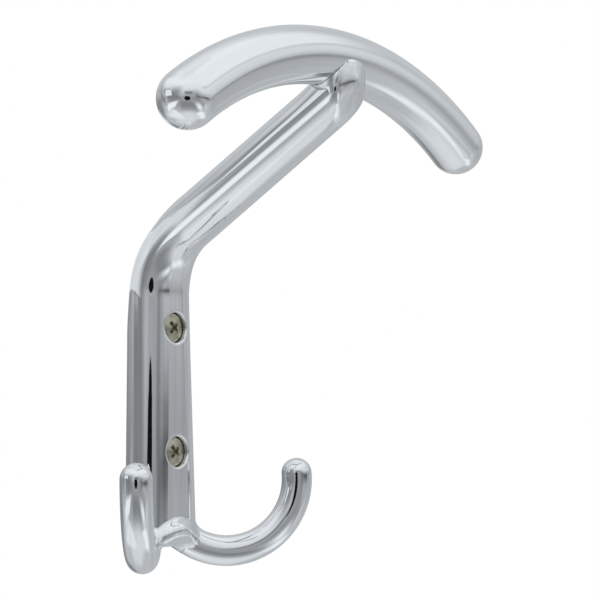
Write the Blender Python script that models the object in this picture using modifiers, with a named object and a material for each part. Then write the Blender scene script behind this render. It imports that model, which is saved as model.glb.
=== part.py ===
"""Wall coat hook for coats, hats and hangers.

A flat-backed stem is screwed to the wall and bends into a round arm. A bowed hanger bar lies in a saddle
across the arm's nose, held by a hidden stud. Two J-shaped hooks of round rod are let into the foot.

Metres, +Z up. The wall is the plane y = 0 and the hook stands out from it towards -Y. The origin is on the
wall face, midway between the two screw holes.
"""

import math

import bmesh
import bpy
from mathutils import Matrix, Vector

# Stem: a taper with a flat back, a narrow flat front and broad round shoulders
STEM_DEPTH = 0.0092
STEM_WIDTH_FOOT = 0.0216
STEM_WIDTH_BEND = 0.0180
STEM_CORNER = 0.0071
BACK_EDGE = 0.0008
FOOT_DROP = 0.0403
FOOT_EDGE = 0.0022
BEND_RISE = 0.0259

# Arm: a round taper that ends in an upright nose
BEND_RADIUS = 0.0189
ARM_SLOPE = math.radians(29.0)
ARM_DIAMETER_BEND = 0.0136
ARM_DIAMETER_NOSE = 0.0128
NOSE_ROUND = 0.0064
NOSE_LEAD = 0.0008
NOSE_TOP_SQUARENESS = 3.1
NOSE_UNDER_SQUARENESS = 2.3
NOSE_FACE_SQUARENESS = 5.0

# Hanger bar: a bowed round bar with domed ends
BAR_DIAMETER = 0.0141
BAR_BOW_RADIUS = 0.0895
BAR_SPAN = 0.1032
BAR_OUT = 0.0621
SADDLE_DEPTH = 0.0046

# Stud between the arm and the bar
STUD_DIAMETER = 0.0050
STUD_IN_BAR = 0.0085
STUD_IN_ARM = 0.0052
STUD_CHAMFER = 0.0006

# Hooks: round rod bent to a J, splayed to both sides
HOOK_DIAMETER = 0.0080
HOOK_BEND_RADIUS = 0.0186
HOOK_SPLAY = math.radians(50.0)
HOOK_SLOPE = math.radians(30.0)
HOOK_TIP_TURN = math.radians(4.0)
HOOK_DIP = 0.0018
HOOK_CENTRE_OUT = 0.0207
HOOK_PLANES_MEET = 0.0015
HOOK_LET_IN = 0.0016
TENON_DIAMETER = 0.0046
TENON_LENGTH = 0.0030
TENON_STEP = 0.00002

# Web: an arched ridge across the foot, from the root of one hook to the other
WEB_DIAMETER = 0.0048
WEB_OUT = 0.0090
WEB_RISE = 0.0035

# Wall screws
SCREW_SPACING = 0.0320
SCREW_LENGTH = 0.0160
SCREW_DIAMETER = 0.0040
SCREW_TIP = 0.0040
HEAD_DIAMETER = 0.0076
HEAD_RIM = 0.0003
HEAD_CROWN = 0.0009
HEAD_RECESS = 0.0014
CROSS_SPAN = 0.0044
CROSS_SLOT = 0.0010
CROSS_DEPTH = 0.0020
CROSS_FLOOR = 0.3

# Clearances
SEAT_GAP = 0.0003
HOLE_GAP = 0.0003
CUT_PAST = 0.0020

# Facets
CORNER_STEPS = 7
BEND_STEPS = 14
NOSE_STEPS = 10
DOME_STEPS = 6
BAR_STEPS = 36
HOOK_STEPS = 22
TURN_STEPS = 24
ROD_SIDES_BAR = 10
ROD_SIDES_HOOK = 7
WEB_STEPS = 10

CHROME = (0.78, 0.79, 0.80)
YELLOW_ZINC = (0.72, 0.62, 0.36)
STEEL = (0.50, 0.50, 0.51)


def clear_scene():
    for thing in list(bpy.data.objects):
        bpy.data.objects.remove(thing, do_unlink=True)


def new_collection(name):
    collection = bpy.data.collections.new(name)
    bpy.context.scene.collection.children.link(collection)
    return collection


def metal(name, colour, roughness):
    finish = bpy.data.materials.new(name)
    finish.use_nodes = True
    shader = finish.node_tree.nodes["Principled BSDF"]
    shader.inputs["Base Color"].default_value = (*colour, 1.0)
    shader.inputs["Metallic"].default_value = 1.0
    shader.inputs["Roughness"].default_value = roughness
    return finish


def place(name, mesh, collection, finish=None):
    """Links a mesh as a named object, shaded smooth except at real edges."""
    thing = bpy.data.objects.new(name, mesh)
    collection.objects.link(thing)
    if finish:
        mesh.materials.append(finish)
    mesh.shade_smooth()
    mesh.set_sharp_from_angle(angle=math.radians(35.0))
    return thing


def place_cutter(name, mesh, collection):
    thing = bpy.data.objects.new(name, mesh)
    collection.objects.link(thing)
    thing.hide_render = True
    thing.display_type = "WIRE"
    return thing


def combine(thing, other, operation):
    modifier = thing.modifiers.new(operation.title() + " " + other.name, "BOOLEAN")
    modifier.operation = operation
    modifier.object = other
    modifier.solver = "EXACT"


def finish_mesh(shape, name):
    bmesh.ops.recalc_face_normals(shape, faces=shape.faces)
    mesh = bpy.data.meshes.new(name)
    shape.to_mesh(mesh)
    shape.free()
    return mesh


def loft(name, rings):
    """Skins closed rings of equally many points and caps both ends."""
    shape = bmesh.new()
    loops = [[shape.verts.new(point) for point in ring] for ring in rings]
    for lower, upper in zip(loops, loops[1:]):
        for k in range(len(lower)):
            after = (k + 1) % len(lower)
            shape.faces.new((lower[k], lower[after], upper[after], upper[k]))
    shape.faces.new(loops[0])
    shape.faces.new(loops[-1])
    return finish_mesh(shape, name)


def rod(name, path, thickness, sides):
    """A round rod along (point, share of the full thickness) pairs, as a welded mesh."""
    curve = bpy.data.curves.new(name, "CURVE")
    curve.dimensions = "3D"
    curve.bevel_depth = thickness / 2
    curve.bevel_resolution = sides
    curve.use_fill_caps = True
    spline = curve.splines.new("POLY")
    spline.points.add(len(path) - 1)
    for spot, (point, share) in zip(spline.points, path):
        spot.co = (*point, 1.0)
        spot.radius = share
    guide = bpy.data.objects.new(name, curve)
    bpy.context.scene.collection.objects.link(guide)
    bpy.context.view_layer.update()
    ready = guide.evaluated_get(bpy.context.evaluated_depsgraph_get())
    mesh = bpy.data.meshes.new_from_object(ready)
    bpy.data.objects.remove(guide, do_unlink=True)
    bpy.data.curves.remove(curve)
    shape = bmesh.new()
    shape.from_mesh(mesh)
    bmesh.ops.remove_doubles(shape, verts=shape.verts, dist=1e-7)
    bpy.data.meshes.remove(mesh)
    return finish_mesh(shape, name)


def dome(centre, along, radius):
    """Path points that round off a rod's end with a half ball."""
    turns = [math.radians(90.0) * k / DOME_STEPS for k in range(1, DOME_STEPS)]
    turns.append(math.radians(88.0))
    return [(centre + along * radius * math.sin(turn), math.cos(turn)) for turn in turns]


def turned(name, profile, collection, finish, matrix):
    """A turned piece: (radius, height) points down its outer side, spun about its own Z."""
    shape = bmesh.new()
    points = [shape.verts.new((radius, 0.0, height)) for radius, height in profile]
    for upper, lower in zip(points, points[1:]):
        shape.edges.new((upper, lower))
    mesh = bpy.data.meshes.new(name)
    shape.to_mesh(mesh)
    shape.free()
    thing = place(name, mesh, collection, finish) if finish else place_cutter(name, mesh, collection)
    thing.matrix_world = matrix
    spin = thing.modifiers.new("Turn", "SCREW")
    spin.axis = "Z"
    spin.steps = TURN_STEPS
    spin.render_steps = TURN_STEPS
    spin.use_merge_vertices = True
    spin.merge_threshold = 1e-6
    spin.use_smooth_shade = True
    return thing


def mix(a, b, share):
    return a + (b - a) * share


def ease(share):
    return share * share * (3.0 - 2.0 * share)


def flat_half(width, depth, corner):
    """Half of the stem's section, from the middle of its front to the middle of its back.

    The points are (x, forward of the back face).
    """
    side = width / 2
    corner = min(corner, depth - 1.5 * BACK_EDGE, 0.9 * side)
    points = [(0.0, depth), ((side - corner) / 2, depth)]
    for k in range(CORNER_STEPS + 1):
        turn = math.radians(90.0) * k / CORNER_STEPS
        points.append((side - corner + corner * math.sin(turn), depth - corner + corner * math.cos(turn)))
    points.append((side, mix(depth - corner, BACK_EDGE, 0.5)))
    for k in range(4):
        turn = math.radians(90.0) * k / 3
        points.append((side - BACK_EDGE * (1 - math.cos(turn)), BACK_EDGE * (1 - math.sin(turn))))
    points += [((side - BACK_EDGE) * 0.6, 0.0), ((side - BACK_EDGE) * 0.3, 0.0), (0.0, 0.0)]
    return points


def mirrored(half):
    return half + [(-x, forward) for x, forward in reversed(half[1:-1])]


def flat_section(width, depth, corner):
    return mirrored(flat_half(width, depth, corner))


def round_section(across, deep):
    """An ellipse with the same number of points as the stem's section, about its own middle."""
    last = len(flat_half(STEM_WIDTH_FOOT, STEM_DEPTH, STEM_CORNER)) - 1
    turns = [math.pi * k / last for k in range(last + 1)]
    return mirrored([(across / 2 * math.sin(turn), deep / 2 * math.cos(turn)) for turn in turns])


# Places that several pieces share
FOOT_Z = -FOOT_DROP
BEND_TURN = math.radians(90.0) - ARM_SLOPE
ARM_ALONG = Vector((0.0, -math.cos(ARM_SLOPE), math.sin(ARM_SLOPE)))
BEND_START = Vector((0.0, -STEM_DEPTH / 2, BEND_RISE))
ARM_START = BEND_START + Vector(
    (0.0, -BEND_RADIUS * (1 - math.cos(BEND_TURN)), BEND_RADIUS * math.sin(BEND_TURN))
)
BAR_RADIUS = BAR_DIAMETER / 2
BAR_TO_ARM = ARM_DIAMETER_NOSE / 2 + BAR_RADIUS - SADDLE_DEPTH
UNDER_BAR = (BAR_OUT + ARM_START.y) / math.cos(ARM_SLOPE)
BAR_MIDDLE = ARM_START + ARM_ALONG * UNDER_BAR + Vector((0.0, 0.0, BAR_TO_ARM / math.cos(ARM_SLOPE)))
NOSE_TIP_OUT = BAR_OUT + BAR_RADIUS + NOSE_LEAD
NOSE_START = (NOSE_TIP_OUT - NOSE_ROUND + ARM_START.y) / math.cos(ARM_SLOPE)
HOOK_CENTRE_Z = FOOT_Z - HOOK_DIP + HOOK_BEND_RADIUS


def stem_width(z):
    return mix(STEM_WIDTH_FOOT, STEM_WIDTH_BEND, (z - FOOT_Z) / (BEND_RISE - FOOT_Z))


def stem_rings():
    """The straight stem, from the rounded edge of its foot to the start of the bend."""
    rings = []
    for k in range(4):
        turn = math.radians(90.0) * k / 3
        inset = FOOT_EDGE * (1 - math.sin(turn))
        z = FOOT_Z + FOOT_EDGE * (1 - math.cos(turn))
        corner = max(STEM_CORNER - inset, FOOT_EDGE / 2)
        section = flat_section(stem_width(z) - 2 * inset, STEM_DEPTH - inset, corner)
        rings.append([(x, -forward, z) for x, forward in section])
    section = flat_section(STEM_WIDTH_BEND, STEM_DEPTH, STEM_CORNER)
    rings.append([(x, -forward, BEND_RISE) for x, forward in section])
    return rings


def bend_rings():
    """The bend, where the flat section eases into the round one."""
    flat = flat_section(STEM_WIDTH_BEND, STEM_DEPTH, STEM_CORNER)
    full = round_section(ARM_DIAMETER_BEND, ARM_DIAMETER_BEND)
    rings = []
    for k in range(1, BEND_STEPS + 1):
        turn = BEND_TURN * k / BEND_STEPS
        share = ease(k / BEND_STEPS)
        middle = BEND_START + Vector(
            (0.0, -BEND_RADIUS * (1 - math.cos(turn)), BEND_RADIUS * math.sin(turn))
        )
        front = Vector((0.0, -math.cos(turn), -math.sin(turn)))
        ring = []
        for (flat_x, flat_y), (full_x, full_y) in zip(flat, full):
            across = mix(flat_x, full_x, share)
            forward = mix(flat_y - STEM_DEPTH / 2, full_y, share)
            ring.append(middle + Vector((across, 0.0, 0.0)) + front * forward)
        rings.append(ring)
    return rings


def nose_rings():
    """The arm's end: upright sections that round off in plan, while the front stays steep and broad."""
    rings = []
    middle = ARM_START + ARM_ALONG * NOSE_START
    tall = ARM_DIAMETER_NOSE / math.cos(ARM_SLOPE)
    for k in range(NOSE_STEPS + 1):
        turn = math.radians(86.0) * k / NOSE_STEPS
        ahead = math.sin(turn)
        power = 2.0 / mix(2.0, NOSE_FACE_SQUARENESS, ahead**4)
        above = tall * (1 - ahead**NOSE_TOP_SQUARENESS) ** (1 / NOSE_TOP_SQUARENESS)
        under = tall * (1 - ahead**NOSE_UNDER_SQUARENESS) ** (1 / NOSE_UNDER_SQUARENESS)
        centre = middle + ARM_ALONG * (NOSE_ROUND * ahead / math.cos(ARM_SLOPE))
        ring = []
        for x, down in round_section(1.0, 1.0):
            across = math.copysign(abs(2 * x) ** power, x) * ARM_DIAMETER_NOSE / 2 * math.cos(turn)
            drop = math.copysign(abs(2 * down) ** power, down) * (under if down > 0 else above) / 2
            ring.append(centre + Vector((across, 0.0, -drop)))
        rings.append(ring)
    return rings


def bar_path():
    """The bar's axis: an arc in a plane parallel to the wall, drooping at both ends."""
    half = math.asin(BAR_SPAN / 2 / BAR_BOW_RADIUS)
    centre = BAR_MIDDLE - Vector((0.0, 0.0, BAR_BOW_RADIUS))
    arc = []
    for k in range(BAR_STEPS + 1):
        turn = mix(-half, half, k / BAR_STEPS)
        arc.append(centre + BAR_BOW_RADIUS * Vector((math.sin(turn), 0.0, math.cos(turn))))
    left = Vector((-math.cos(half), 0.0, -math.sin(half)))
    right = Vector((math.cos(half), 0.0, -math.sin(half)))
    near_end = list(reversed(dome(arc[0], left, BAR_RADIUS)))
    far_end = dome(arc[-1], right, BAR_RADIUS)
    return near_end + [(point, 1.0) for point in arc] + far_end


def hook_path(side, play=0.0):
    """A hook's axis: a tenon and a straight root let into the foot, then the J, then a domed tip."""
    ahead = Vector((side * math.sin(HOOK_SPLAY), -math.cos(HOOK_SPLAY), 0.0))
    centre = Vector((0.0, HOOK_PLANES_MEET, HOOK_CENTRE_Z)) + ahead * HOOK_CENTRE_OUT
    up = Vector((0.0, 0.0, 1.0))
    first = -math.radians(90.0) - HOOK_SLOPE
    arc = []
    for k in range(HOOK_STEPS + 1):
        turn = mix(first, HOOK_TIP_TURN, k / HOOK_STEPS)
        arc.append(centre + HOOK_BEND_RADIUS * (ahead * math.cos(turn) + up * math.sin(turn)))
    inward = up * math.sin(HOOK_SLOPE) - ahead * math.cos(HOOK_SLOPE)
    share = (TENON_DIAMETER / 2 + play) / (HOOK_DIAMETER / 2 + play)
    root = [
        (arc[0] + inward * (HOOK_LET_IN + TENON_LENGTH + play), share),
        (arc[0] + inward * (HOOK_LET_IN + play + TENON_STEP), share),
        (arc[0] + inward * (HOOK_LET_IN + play), 1.0),
    ]
    tip_along = up * math.cos(HOOK_TIP_TURN) - ahead * math.sin(HOOK_TIP_TURN)
    tip = dome(arc[-1], tip_along, HOOK_DIAMETER / 2)
    return root + [(point, 1.0) for point in arc] + tip


def web_path():
    """The ridge's axis: an arch between the points where the hooks begin to bend."""
    end = hook_path(1.0)[3][0]
    arch = []
    for k in range(WEB_STEPS + 1):
        across = mix(-1.0, 1.0, k / WEB_STEPS)
        y = mix(-WEB_OUT, end.y, across**2)
        z = end.z + WEB_RISE * (1 - across**2)
        arch.append((Vector((end.x * across, y, z)), 1.0))
    return arch


def screw_frame(z):
    """A wall screw's frame: its origin at the rim of the head, its Z out of the wall."""
    return Matrix.Translation((0.0, -STEM_DEPTH + HEAD_RECESS, z)) @ Matrix.Rotation(
        math.radians(90.0), 4, "X"
    )


def make_stem(parts, cutters, finish):
    rings = stem_rings() + bend_rings() + nose_rings()
    stem = place("stem_arm", loft("stem_arm", rings), parts, finish)

    web = rod("web", web_path(), WEB_DIAMETER, ROD_SIDES_HOOK)
    combine(stem, place_cutter("web", web, cutters), "UNION")

    hole_radius = SCREW_DIAMETER / 2 + HOLE_GAP
    bore_radius = HEAD_DIAMETER / 2 + HOLE_GAP
    cone_top = -HEAD_RIM - SEAT_GAP
    hole = [
        (0.0, HEAD_RECESS + CUT_PAST),
        (bore_radius, HEAD_RECESS + CUT_PAST),
        (bore_radius, cone_top),
        (hole_radius, cone_top - (bore_radius - hole_radius)),
        (hole_radius, -STEM_DEPTH - CUT_PAST),
        (0.0, -STEM_DEPTH - CUT_PAST),
    ]
    for name, z in (("upper_hole", SCREW_SPACING / 2), ("lower_hole", -SCREW_SPACING / 2)):
        combine(stem, turned(name, hole, cutters, None, screw_frame(z)), "DIFFERENCE")

    saddle = rod("saddle", bar_path(), BAR_DIAMETER + 2 * SEAT_GAP, ROD_SIDES_BAR)
    combine(stem, place_cutter("saddle", saddle, cutters), "DIFFERENCE")

    for name, side in (("left_socket", -1.0), ("right_socket", 1.0)):
        socket = rod(name, hook_path(side, SEAT_GAP), HOOK_DIAMETER + 2 * SEAT_GAP, ROD_SIDES_HOOK)
        combine(stem, place_cutter(name, socket, cutters), "DIFFERENCE")
    return stem


def make_bar(parts, finish):
    mesh = rod("hanger_bar", bar_path(), BAR_DIAMETER, ROD_SIDES_BAR)
    return place("hanger_bar", mesh, parts, finish)


def make_stud(parts, cutters, finish, stem, bar):
    """The stud stands upright, with one end in the bar and the other in the arm."""
    radius = STUD_DIAMETER / 2
    top = STUD_IN_BAR - BAR_RADIUS
    bottom = -BAR_RADIUS - SEAT_GAP - STUD_IN_ARM
    profile = [
        (0.0, top),
        (radius - STUD_CHAMFER, top),
        (radius, top - STUD_CHAMFER),
        (radius, bottom + STUD_CHAMFER),
        (radius - STUD_CHAMFER, bottom),
        (0.0, bottom),
    ]
    frame = Matrix.Translation(BAR_MIDDLE)
    stud = turned("bar_stud", profile, parts, finish, frame)
    wide = radius + HOLE_GAP
    hole = [(0.0, top + HOLE_GAP), (wide, top + HOLE_GAP), (wide, bottom - HOLE_GAP), (0.0, bottom - HOLE_GAP)]
    stud_hole = turned("stud_hole", hole, cutters, None, frame)
    combine(stem, stud_hole, "DIFFERENCE")
    combine(bar, stud_hole, "DIFFERENCE")
    return stud


def make_hook(name, side, parts, finish):
    return place(name, rod(name, hook_path(side), HOOK_DIAMETER, ROD_SIDES_HOOK), parts, finish)


def make_screw(name, z, parts, cutters, finish):
    """A countersunk wood screw with a crowned head and a cross recess."""
    head_radius = HEAD_DIAMETER / 2
    shank_radius = SCREW_DIAMETER / 2
    crown_radius = (head_radius**2 + HEAD_CROWN**2) / (2 * HEAD_CROWN)
    profile = []
    for k in range(5):
        reach = head_radius * k / 4
        profile.append((reach, HEAD_CROWN - crown_radius + math.sqrt(crown_radius**2 - reach**2)))
    neck = -HEAD_RIM - (head_radius - shank_radius)
    profile += [
        (head_radius, -HEAD_RIM),
        (shank_radius, neck),
        (shank_radius, SCREW_TIP - SCREW_LENGTH),
        (0.0, -SCREW_LENGTH),
    ]
    screw = turned(name, profile, parts, finish, screw_frame(z))
    for label, quarter in (("_slot_a", 0.0), ("_slot_b", 90.0)):
        shape = bmesh.new()
        bmesh.ops.create_cube(shape, size=1.0)
        for corner in shape.verts:
            narrow = CROSS_FLOOR if corner.co.z < 0 else 1.0
            height = HEAD_CROWN + CUT_PAST if corner.co.z > 0 else HEAD_CROWN - CROSS_DEPTH
            corner.co = (corner.co.x * CROSS_SPAN * narrow, corner.co.y * CROSS_SLOT, height)
        slot = place_cutter(name + label, finish_mesh(shape, name + label), cutters)
        slot.matrix_world = screw_frame(z) @ Matrix.Rotation(math.radians(45.0 + quarter), 4, "Z")
        combine(screw, slot, "DIFFERENCE")
    return screw


def main():
    clear_scene()
    parts = new_collection("coat_hook")
    cutters = new_collection("coat_hook_cutters")
    chrome = [metal(name, CHROME, 0.06) for name in ("stem_chrome", "bar_chrome", "hook_chrome")]
    zinc = metal("screw_yellow_zinc", YELLOW_ZINC, 0.35)
    steel = metal("stud_steel", STEEL, 0.45)

    stem = make_stem(parts, cutters, chrome[0])
    bar = make_bar(parts, chrome[1])
    make_stud(parts, cutters, steel, stem, bar)
    make_hook("left_hook", -1.0, parts, chrome[2])
    make_hook("right_hook", 1.0, parts, chrome[2])
    make_screw("upper_screw", SCREW_SPACING / 2, parts, cutters, zinc)
    make_screw("lower_screw", -SCREW_SPACING / 2, parts, cutters, zinc)


main()
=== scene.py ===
import math
from functools import wraps
from itertools import product

import bmesh
import bpy
import numpy as np
from mathutils import Matrix, Vector


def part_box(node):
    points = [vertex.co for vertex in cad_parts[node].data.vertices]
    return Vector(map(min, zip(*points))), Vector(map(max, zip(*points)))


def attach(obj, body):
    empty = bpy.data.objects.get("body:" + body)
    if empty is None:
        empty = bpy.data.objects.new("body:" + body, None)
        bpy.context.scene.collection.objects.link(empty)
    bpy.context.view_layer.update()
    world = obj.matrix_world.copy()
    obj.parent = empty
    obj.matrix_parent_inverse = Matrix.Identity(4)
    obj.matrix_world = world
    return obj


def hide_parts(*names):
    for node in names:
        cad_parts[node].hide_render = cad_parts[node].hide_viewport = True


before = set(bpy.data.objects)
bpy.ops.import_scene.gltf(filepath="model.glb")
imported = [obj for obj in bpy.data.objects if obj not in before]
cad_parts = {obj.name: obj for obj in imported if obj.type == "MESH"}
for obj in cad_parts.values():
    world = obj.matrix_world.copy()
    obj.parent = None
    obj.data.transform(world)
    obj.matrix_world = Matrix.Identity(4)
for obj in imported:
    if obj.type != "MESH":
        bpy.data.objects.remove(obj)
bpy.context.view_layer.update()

bl_info = {
    "name": "Chromed coat hook",
    "version": (1, 0, 0),
    "blender": (4, 5, 0),
    "location": "View3D > Sidebar > Coat hook",
    "description": "Builds a chromed wall coat hook and the studio it stands in",
    "category": "Object",
}

# The bend: steps along its middle line, the share of it over which it curves in and out, and how often a
# point closes in on its place along that line.
BEND_STEPS = 400
BEND_EASE = 0.14
BEND_ROUNDS = 6

# The stem's section, by shares of the way along the bend: where it turns round and over how much, where its
# back edges soften and over how much, and where its back is fullest and how far that reaches.
ROUND_FROM, ROUND_OVER = 0.22, 0.74
SOFT_FROM, SOFT_OVER = -0.3, 0.6
FULLEST, FULL_REACH = 0.62, 0.20

# The stem's taper, by shares of the way from the foot to the bend: where it ends below, and how gently above.
TAPER_LOW, TAPER_EASE = -0.1, 0.3

# How far below the middle of the nose, in its radii, its squarer top begins.
NOSE_SQUARE_BELOW = 0.2

# Room between the pieces in metres, the saddle's edge, and the stub of rod that carries each hook's fillet.
HEAD_ROOM, SHANK_ROOM, SADDLE_ROOM = 0.00006, 0.0003, 0.00003
SADDLE_EDGE = 0.0002
STUB_INSET, STUB_TURN = 0.00005, math.radians(22.0)

# What readings across a slope are scaled by, to come near true distances.
HOLE_SCALE, CONE_SCALE, SHANK_SCALE = 0.85, 0.71, 0.6

# The screws' small forms: edges in metres, the thread's steepness and start, the plain part of the shank as
# shares of the length and diameter, how the point fills out, and how far the cross recess narrows downwards.
HEAD_EDGE, SLOT_EDGE, CROSS_EDGE = 0.0002, 0.0002, 0.00025
THREAD_STEEP, THREAD_SINK = 2.6, 1.6
THREAD_START = 0.0008
PLAIN_LENGTH, PLAIN_DIAMETER = 0.36, 0.9
POINT_POWER = 0.7
SLOT_TAPER, SPAN_TAPER = 0.75, 0.3

# How a skin is found: cells of room round a piece, cells to a block, how far a distance may be overdrawn, the
# step in cells that feels a slope, the rounds that draw points onto the skin, the least slope squared and the
# longest move in cells that they reckon with.
SKIN_ROOM = 3
SKIN_BLOCK = 12
SKIN_DOUBT = 1.4
SKIN_FEEL = 0.15
SKIN_ROUNDS = 4
SKIN_SLOPE = 0.05
SKIN_MOVE = 0.5

# Which points count as the stem's flat front: how they face, and how far off it they may lie.
FLAT_FACING, FLAT_WITHIN = -0.999, 0.00001

# How fine the pieces are: the cells of the skins and the room round the stem, the steps, sides and dome rings
# of the rods, the step down to the tenon, where a dome ends and how far its cap stands out.
STEM_CELL, SCREW_CELL = 0.00034, 0.000143
STEM_ROOM = Vector((0.010, 0.006, 0.006))
BAR_STEPS, BAR_SIDES, BAR_DOME = 150, 80, 20
HOOK_STEPS, HOOK_SIDES, HOOK_DOME = 90, 56, 14
TENON_STEP = 0.00002
DOME_END, CAP_RISE = math.radians(89.0), 0.02

# A run along a piece counts for this share in its grain, so that drawn lines are fifty times as long as wide.
GRAIN_STRETCH = 0.02

# The plating's unevenness: its depth, and the share of the drawn lines in it.
POLISH_DEPTH, LINE_HEIGHT = 0.00004, 0.3

# How far the marks on the stud and the patches on the floor are toned down, and how rough the floor is.
STUD_TONE, FLOOR_TONE, FLOOR_ROUGHNESS = 0.8, 0.98, 0.8

# The stage: the floor, the point that the camera was set up on, the dark camera body and its cloth, and the
# glowing pale card's ends in degrees, its steps, those beside the stem, its glow and the depths it fades
# between.
FLOOR_RADIUS, FLOOR_SIDES = 2.4, 96
CAMERA_AIM = Vector((0.0, -0.0295, 0.0242))
SENSOR_WIDTH = 36.0
CAMERA_BODY = (0.085, 0.060, 0.020)
CAMERA_BODY_ASIDE = -0.010
CLOTH_DARK, CLOTH_WORN = (0.006, 0.006, 0.008), (0.010, 0.010, 0.012)
CARD_TURNS = (-82.0, -200.0)
CARD_STEPS, CARD_STEPS_BESIDE = 24, 12
CARD_GLOW = 0.80
CARD_FADE = (-0.008, 0.006)

# The studio that the plating mirrors: how light it is from floor to ceiling, by height angle in degrees, and
# the walls, cards and strips in it, each with its turn from straight ahead, rise, half width, half height and
# softness in degrees, its lean and how light it is.
STUDIO_LEVELS = (
    (-90, 0.80),
    (-65, 0.76),
    (-45, 0.56),
    (-20, 0.61),
    (0, 0.39),
    (15, 0.76),
    (32, 0.86),
    (50, 0.95),
    (90, 0.86),
)
STUDIO_CARDS = (
    ("right ceiling", 70, 52, 43, 24, 1, -0.2, 0.94),
    ("right step", 1, -9, 14, 18, 13, -1.2, 1.00),
    ("rear left wall", -151, 12, 9, 23, 16, -1, 0.22),
    ("left wall", -98, -4, 21, 32, 15, 0.3, 0.31),
    ("dark front floor", -28, -27, 53, 19, 16, 0.1, 0.27),
    ("pale left floor", -123, -57, 28, 23, 9, -0.7, 0.90),
    ("white left panel", -113, -23, 23, 9, 5, 1, 1.00),
    ("white slanted panel", 5, -32, 13, 11, 13, -1.1, 1.00),
    ("low white card", 46, -48, 28, 8, 7, 1.6, 0.98),
    ("left dado", -109, 9, 20, 17, 8, -1.3, 0.25),
    ("left window", -118, 15.2, 14, 8.4, 1.2, -0.3, 0.90),
    ("right wall", 125, 4, 67, 30, 16, 0.4, 0.48),
    ("right floor", 104, -37, 25, 29, 12, 0.6, 0.54),
    ("grey soffit", 131, 40, 60, 23, 16, 0.9, 0.62),
    ("dark rear wall", 176, -6, 26, 15, 8, 0, 0.28),
    ("dark doorway", 150, -10, 9, 24, 5, 0, 0.28),
    ("skirting", 13, -0.9, 24, 1.6, 4, 0.2, 0.02),
    ("room corner", -12, 1, 15, 13, 16, -0.5, 0.18),
    ("left post", -129, -8.3, 5, 9.7, 1.6, 0.2, 0.52),
    ("left strip light", -69, 11.7, 4, 9.7, 1.8, -0.3, 0.52),
    ("front shade", -43, 12, 14, 6, 5, -0.3, 0.25),
    ("ceiling seam", 43, 29.6, 33, 0.8, 5.1, -0.1, 0.51),
    ("ceiling strip light", 38, 20, 39, 0.8, 1.8, 0.1, 0.75),
    ("right strip light", 86, -23.1, 2, 25.8, 6.7, -0.1, 0.60),
    ("right jamb", 51, 3, 2.6, 3.5, 2.2, 0, 0.33),
)
CARD_LABELS = ("Card turn", "Card rise", "Half width", "Half height", "Softness", "Lean")


def measure(name, description, default, least=0.0):
    """A length that a user can change."""
    return bpy.props.FloatProperty(
        name=name, description=description, default=default, min=least, unit="LENGTH", precision=5
    )


def angle(name, description, degrees):
    """An angle that a user can change."""
    return bpy.props.FloatProperty(
        name=name, description=description, default=math.radians(degrees), unit="ROTATION"
    )


def colour(name, description, default):
    """A colour that a user can change."""
    return bpy.props.FloatVectorProperty(
        name=name, description=description, default=default, size=3, min=0.0, max=1.0, subtype="COLOR"
    )


def amount(name, description, default):
    """A plain number that a user can change."""
    return bpy.props.FloatProperty(name=name, description=description, default=default, min=0.0)


class StemSizes(bpy.types.PropertyGroup):
    """The stem against the wall and the arm that it bends into."""

    depth: measure("Depth", "Thickness of the stem out from the wall", 0.0092)
    width_foot: measure("Width at foot", "Width of the stem at its lower end", 0.0216)
    width_bend: measure("Width at bend", "Width of the stem where the bend begins", 0.0180)
    shoulder: measure("Shoulder", "Radius of the round front edges", 0.0071)
    back_edge: measure("Back edge", "Radius of the edges against the wall", 0.0008)
    bend_back_edge: measure("Back edge at bend", "Radius of those edges where the bend begins", 0.0024)
    foot_drop: measure("Foot drop", "From the middle of the screws down to the foot", 0.0403)
    foot_edge: measure("Foot edge", "Softness of the foot's lower edge", 0.0030)
    bend_rise: measure("Bend rise", "From the middle of the screws up to the bend", 0.0241)
    bend_radius: measure("Bend radius", "Radius of the bend along its middle", 0.0220)
    bend_fullness: measure("Bend fullness", "How much fuller the bend's back is than an even bend", 0.0006)
    arm_slope: angle("Arm slope", "Rise of the arm above level", 29.0)
    arm_at_bend: measure("Arm at bend", "Arm diameter next to the bend", 0.0136)
    arm_at_nose: measure("Arm at nose", "Arm diameter at its end", 0.0128)
    nose_lead: measure("Nose lead", "How far the nose stands in front of the bar", 0.0006)
    nose_square: amount("Nose squareness", "Two is round, more makes the nose's top squarer", 2.5)
    nose_blend: measure("Nose blend", "Length over which the arm grows squarer", 0.0090)
    nose_round: measure("Nose round", "Radius of the nose's face across", 0.0115)
    nose_side_edge: measure("Nose side edge", "Softness of the nose's side edges", 0.0022)
    nose_top_edge: measure("Nose top edge", "Softness of the nose's upper edge", 0.0026)
    nose_low_edge: measure("Nose low edge", "Softness of the nose's lower edge", 0.0074)
    web_diameter: measure("Web diameter", "Thickness of the ridge between the hooks", 0.0048)
    web_out: measure("Web reach", "How far the ridge's middle stands out", 0.0090)
    web_rise: measure("Web rise", "Height of the ridge's arch", 0.0035)
    web_fillet: measure("Web fillet", "Softness where the ridge runs into the foot", 0.0014)
    root_fillet: measure("Root fillet", "Softness outside the roots of the hooks", 0.0034)
    crotch_fillet: measure("Crotch fillet", "Softness between the roots of the hooks", 0.0010)
    hole_edge: measure("Hole edge", "Softness of the rims of the screw holes", 0.0006)


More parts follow.
